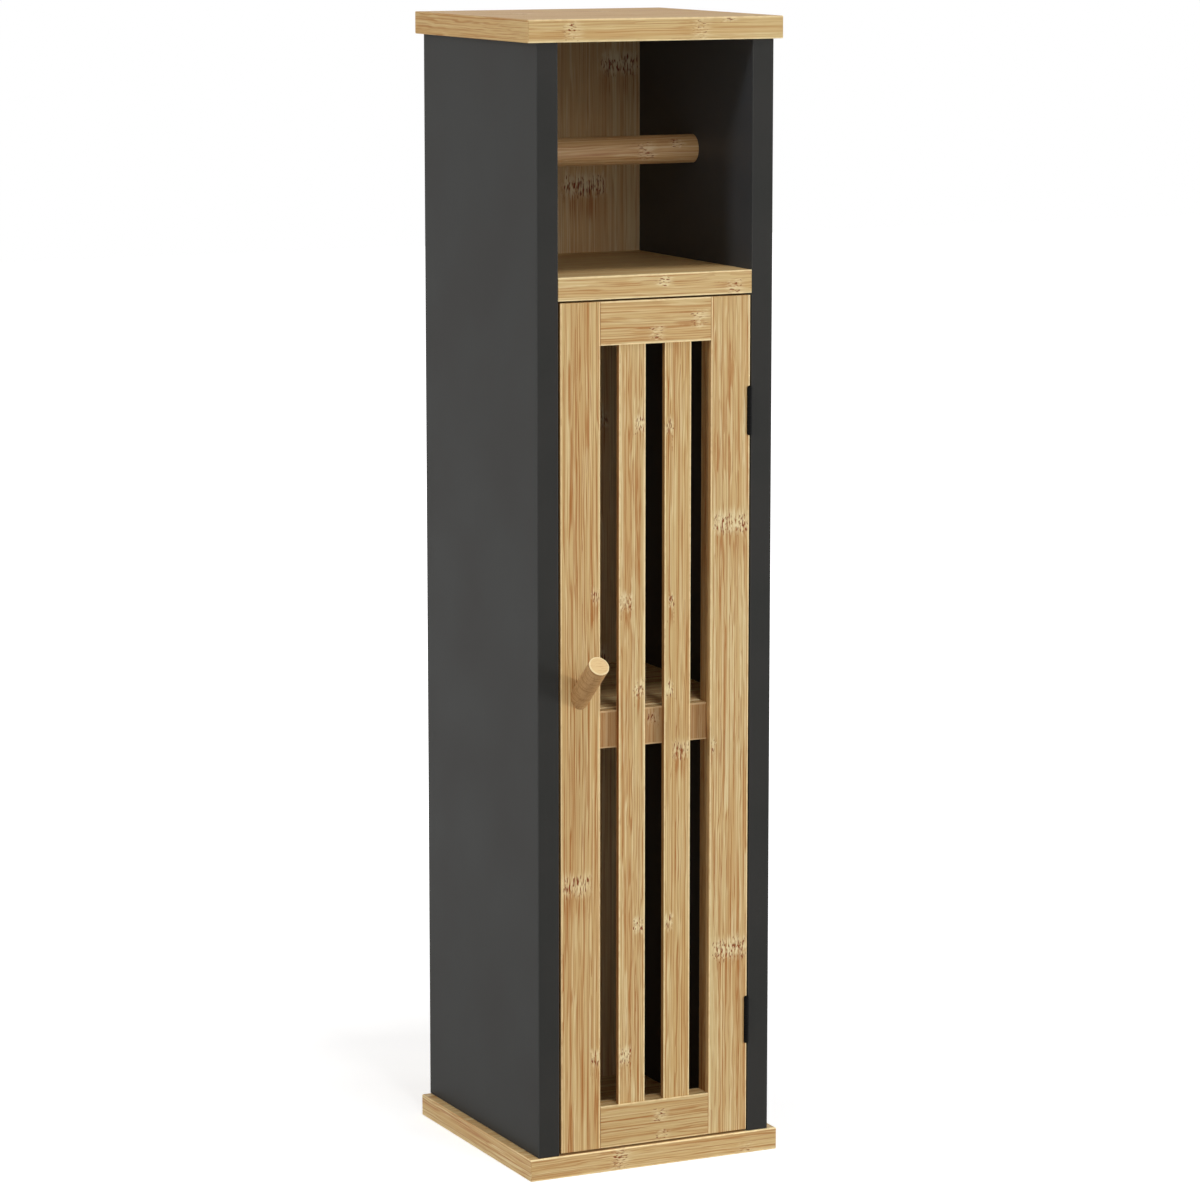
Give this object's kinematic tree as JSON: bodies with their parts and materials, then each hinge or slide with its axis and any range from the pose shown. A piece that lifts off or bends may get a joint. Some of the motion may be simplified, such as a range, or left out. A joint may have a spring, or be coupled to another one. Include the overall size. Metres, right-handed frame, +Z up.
{
  "type": "toilet roll storage cabinet",
  "caption": "Slim free-standing cabinet with a roll holder niche on top and a slatted door below, in bamboo with dark side panels.",
  "frame": {"origin": "centre of the base board's underside", "axes": "+Z up; -Y out of the front, where the door is; +X to the right as seen from the front"},
  "size_m": [0.192, 0.2226, 0.8],
  "materials": {
    "bamboo": "laminated strips under satin lacquer, with fine fibre and scattered nodes",
    "bamboo_peg": "turned bamboo dowel, satin, with a paler cut end",
    "charcoal": "satin charcoal paint on a wood panel",
    "black_hinge": "black satin coating",
    "zinc_steel": "bright zinc plating",
    "beech": "plain unfinished",
    "black_plastic": "fine grained",
    "magnet": "plain ferrite"
  },
  "bodies": {
    "case": {"base_board": "bamboo", "top_board": "bamboo", "left_panel": "charcoal", "right_panel": "charcoal", "back_panel": "bamboo", "niche_shelf": "bamboo", "inner_shelf": "bamboo", "upper_frame_leaf": "black_hinge", "upper_hinge_pin": "black_hinge", "lower_frame_leaf": "black_hinge", "lower_hinge_pin": "black_hinge", "frame_leaf_screws": "black_hinge", "catch_housing": "black_plastic", "catch_magnet": "magnet", "upper_pole_plate": "zinc_steel", "lower_pole_plate": "zinc_steel", "catch_screws": "zinc_steel", "case_dowels": "beech", "top_dowels": "beech", "base_screws": "zinc_steel", "back_screws": "zinc_steel"},
    "door": {"hinge_stile": "bamboo", "latch_stile": "bamboo", "top_rail": "bamboo", "middle_rail": "bamboo", "bottom_rail": "bamboo", "left_slat": "bamboo", "right_slat": "bamboo", "knob": "bamboo_peg", "knob_screw": "zinc_steel", "upper_door_leaf": "black_hinge", "lower_door_leaf": "black_hinge", "door_leaf_screws": "black_hinge", "strike_plate": "zinc_steel", "strike_screw": "zinc_steel", "door_dowels": "beech"},
    "roll_dowel": {"roll_dowel": "bamboo"}
  },
  "joints": [
    {"name": "door_hinge", "type": "hinge", "parent": "case", "child": "door", "pos_m": [0.0722, -0.0936, 0.3133], "axis": [0, 0, 1], "range_deg": [0, 170]},
    {"name": "roll_dowel_spin", "type": "hinge", "parent": "case", "child": "roll_dowel", "pos_m": [0, -0.002, 0.705], "axis": [1, 0, 0], "continuous": true}
  ]
}
